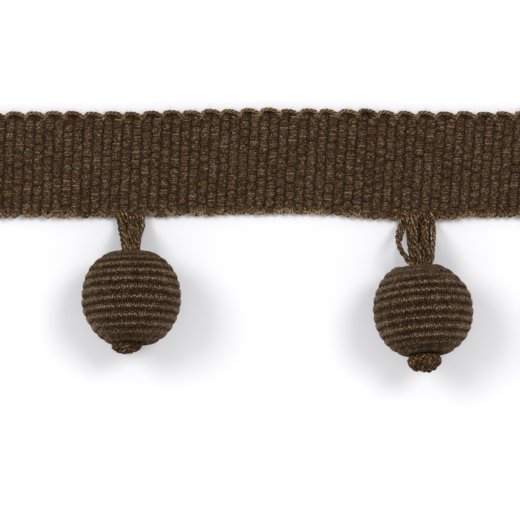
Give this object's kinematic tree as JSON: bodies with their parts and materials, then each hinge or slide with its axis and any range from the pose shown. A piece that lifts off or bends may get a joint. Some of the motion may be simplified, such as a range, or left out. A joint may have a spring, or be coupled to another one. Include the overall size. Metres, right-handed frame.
{
  "type": "beaded fringe trim",
  "caption": "Cut length of ribbed woven heading tape with looped edges, hung with yarn-wound balls on plied yarn stems, each ending in a knot.",
  "frame": {"origin": "middle of the heading tape's flat back, halfway between the cut ends", "axes": "+X along the tape, +Y from the drops towards the tape, +Z out of the tape's face, the trim lying on Z = 0"},
  "size_m": [0.1027, 0.046, 0.0173],
  "materials": {
    "tape_yarn": "matt dark brown ribbed weave",
    "ball_yarn": "matt dark brown wound yarn",
    "stem_yarn": "slightly glossy brown plied yarn with tan highlights"
  },
  "bodies": {
    "root": {"heading_tape": "tape_yarn", "left_stem": "stem_yarn", "left_ball": "ball_yarn", "left_knot": "stem_yarn", "right_stem": "stem_yarn", "right_loose_strand": "stem_yarn", "right_side_strand": "stem_yarn", "right_ball": "ball_yarn", "right_knot": "stem_yarn"}
  },
  "joints": []
}
